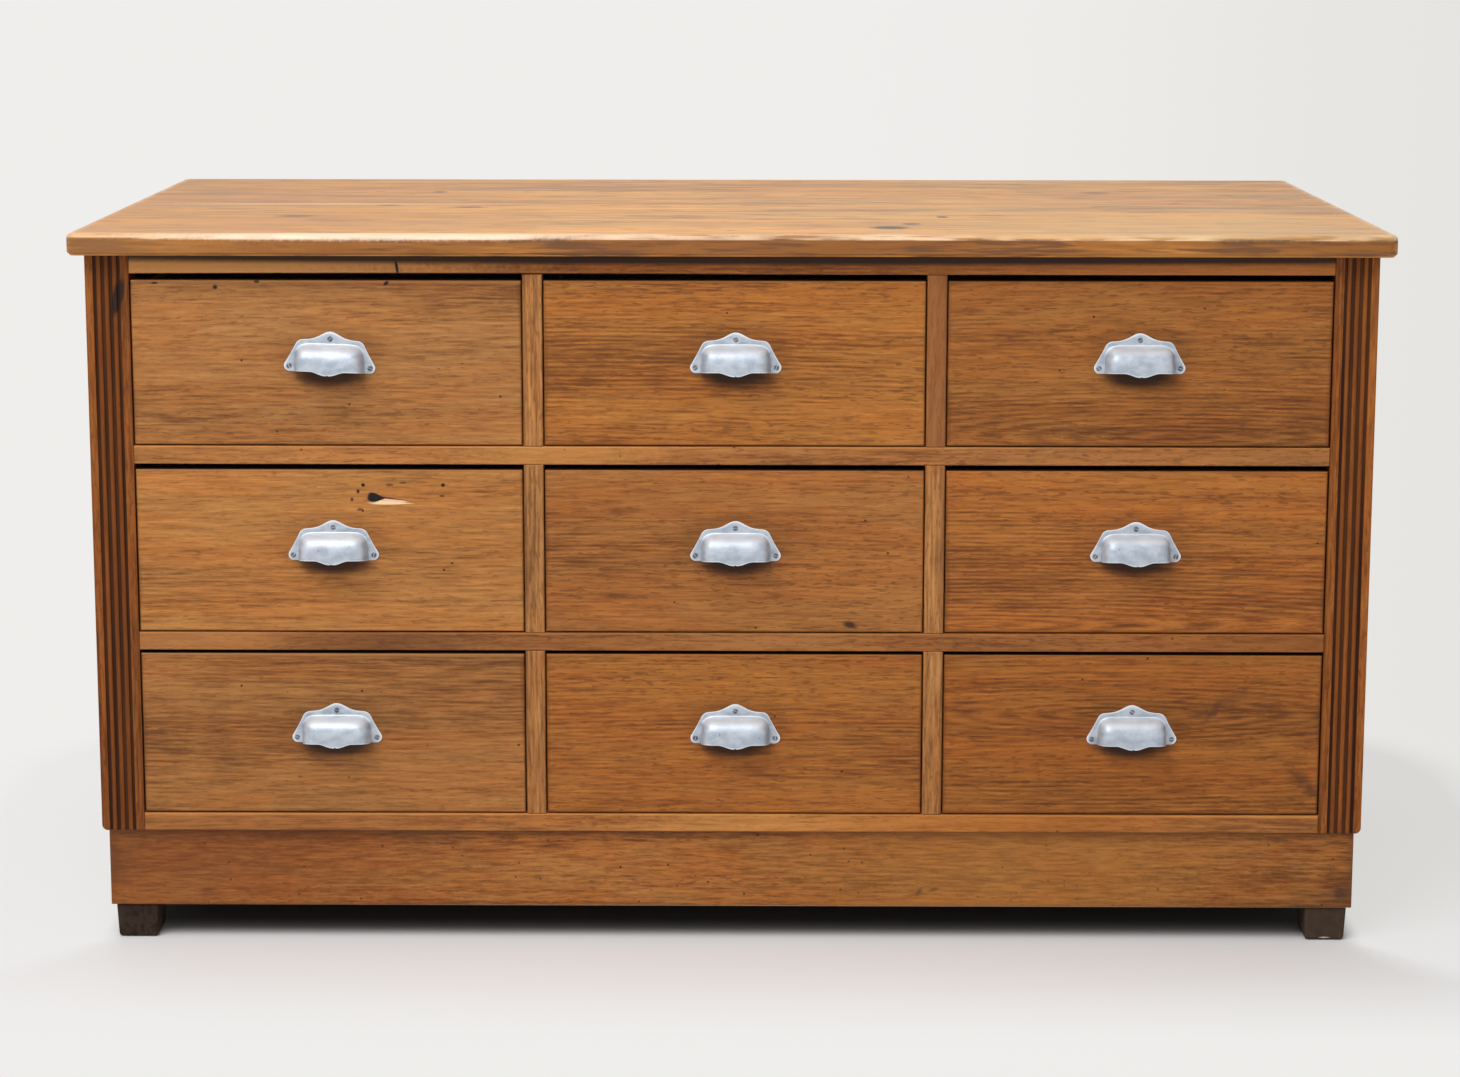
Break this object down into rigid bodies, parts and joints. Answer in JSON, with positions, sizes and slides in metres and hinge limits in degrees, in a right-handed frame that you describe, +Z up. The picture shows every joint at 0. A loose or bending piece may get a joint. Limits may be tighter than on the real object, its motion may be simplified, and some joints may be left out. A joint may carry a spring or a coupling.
{
  "type": "wooden drawer cabinet",
  "caption": "Counter-height wooden cabinet with rows of sliding drawers, metal cup pulls, reeded corner posts, a flat plank worktop and a set-back plinth on feet.",
  "frame": {"origin": "on the floor, under the middle of the worktop", "axes": "+X along the front to the viewer's right, +Y from the front to the back, +Z up"},
  "size_m": [1.604, 0.8, 0.8945],
  "materials": {
    "worktop_oak": "worn satin oil on long-grain boards",
    "frame_oak": "aged satin varnish",
    "drawer_oak": "aged satin varnish",
    "plinth_oak": "aged satin varnish with scuffs",
    "inner_wood": "planed, unfinished",
    "zinc_steel": "dull zinc plate on pressed sheet",
    "foot_wood": "dark stain, worn"
  },
  "bodies": {
    "carcase": {"top_boards": "worktop_oak", "left_front_post": "frame_oak", "right_front_post": "frame_oak", "back_posts": "frame_oak", "bottom_rail": "frame_oak", "lower_drawer_rail": "frame_oak", "upper_drawer_rail": "frame_oak", "top_rail": "frame_oak", "back_rails": "inner_wood", "drawer_dividers": "frame_oak", "left_side_panel": "frame_oak", "right_side_panel": "frame_oak", "side_rails": "frame_oak", "back_boards": "inner_wood", "side_runners": "inner_wood", "centre_runners": "inner_wood", "kickers": "inner_wood", "drawer_guides": "inner_wood", "drawer_stops": "inner_wood", "top_buttons": "inner_wood", "plinth_front_board": "plinth_oak", "plinth_back_board": "plinth_oak", "plinth_side_boards": "plinth_oak", "feet": "foot_wood"},
    "top_left_drawer": {"top_left_drawer_front": "drawer_oak", "top_left_drawer_box": "inner_wood", "top_left_drawer_bottom": "inner_wood", "top_left_cup_pull": "zinc_steel"},
    "top_centre_drawer": {"top_centre_drawer_front": "drawer_oak", "top_centre_drawer_box": "inner_wood", "top_centre_drawer_bottom": "inner_wood", "top_centre_cup_pull": "zinc_steel"},
    "top_right_drawer": {"top_right_drawer_front": "drawer_oak", "top_right_drawer_box": "inner_wood", "top_right_drawer_bottom": "inner_wood", "top_right_cup_pull": "zinc_steel"},
    "middle_left_drawer": {"middle_left_drawer_front": "drawer_oak", "middle_left_drawer_box": "inner_wood", "middle_left_drawer_bottom": "inner_wood", "middle_left_cup_pull": "zinc_steel"},
    "middle_centre_drawer": {"middle_centre_drawer_front": "drawer_oak", "middle_centre_drawer_box": "inner_wood", "middle_centre_drawer_bottom": "inner_wood", "middle_centre_cup_pull": "zinc_steel"},
    "middle_right_drawer": {"middle_right_drawer_front": "drawer_oak", "middle_right_drawer_box": "inner_wood", "middle_right_drawer_bottom": "inner_wood", "middle_right_cup_pull": "zinc_steel"},
    "bottom_left_drawer": {"bottom_left_drawer_front": "drawer_oak", "bottom_left_drawer_box": "inner_wood", "bottom_left_drawer_bottom": "inner_wood", "bottom_left_cup_pull": "zinc_steel"},
    "bottom_centre_drawer": {"bottom_centre_drawer_front": "drawer_oak", "bottom_centre_drawer_box": "inner_wood", "bottom_centre_drawer_bottom": "inner_wood", "bottom_centre_cup_pull": "zinc_steel"},
    "bottom_right_drawer": {"bottom_right_drawer_front": "drawer_oak", "bottom_right_drawer_box": "inner_wood", "bottom_right_drawer_bottom": "inner_wood", "bottom_right_cup_pull": "zinc_steel"}
  },
  "joints": [
    {"name": "top_left_slide", "type": "slide", "parent": "carcase", "child": "top_left_drawer", "axis": [0, -1, 0], "range_m": [0, 0.5]},
    {"name": "top_centre_slide", "type": "slide", "parent": "carcase", "child": "top_centre_drawer", "axis": [0, -1, 0], "range_m": [0, 0.5]},
    {"name": "top_right_slide", "type": "slide", "parent": "carcase", "child": "top_right_drawer", "axis": [0, -1, 0], "range_m": [0, 0.5]},
    {"name": "middle_left_slide", "type": "slide", "parent": "carcase", "child": "middle_left_drawer", "axis": [0, -1, 0], "range_m": [0, 0.5]},
    {"name": "middle_centre_slide", "type": "slide", "parent": "carcase", "child": "middle_centre_drawer", "axis": [0, -1, 0], "range_m": [0, 0.5]},
    {"name": "middle_right_slide", "type": "slide", "parent": "carcase", "child": "middle_right_drawer", "axis": [0, -1, 0], "range_m": [0, 0.5]},
    {"name": "bottom_left_slide", "type": "slide", "parent": "carcase", "child": "bottom_left_drawer", "axis": [0, -1, 0], "range_m": [0, 0.5]},
    {"name": "bottom_centre_slide", "type": "slide", "parent": "carcase", "child": "bottom_centre_drawer", "axis": [0, -1, 0], "range_m": [0, 0.5]},
    {"name": "bottom_right_slide", "type": "slide", "parent": "carcase", "child": "bottom_right_drawer", "axis": [0, -1, 0], "range_m": [0, 0.5]}
  ]
}
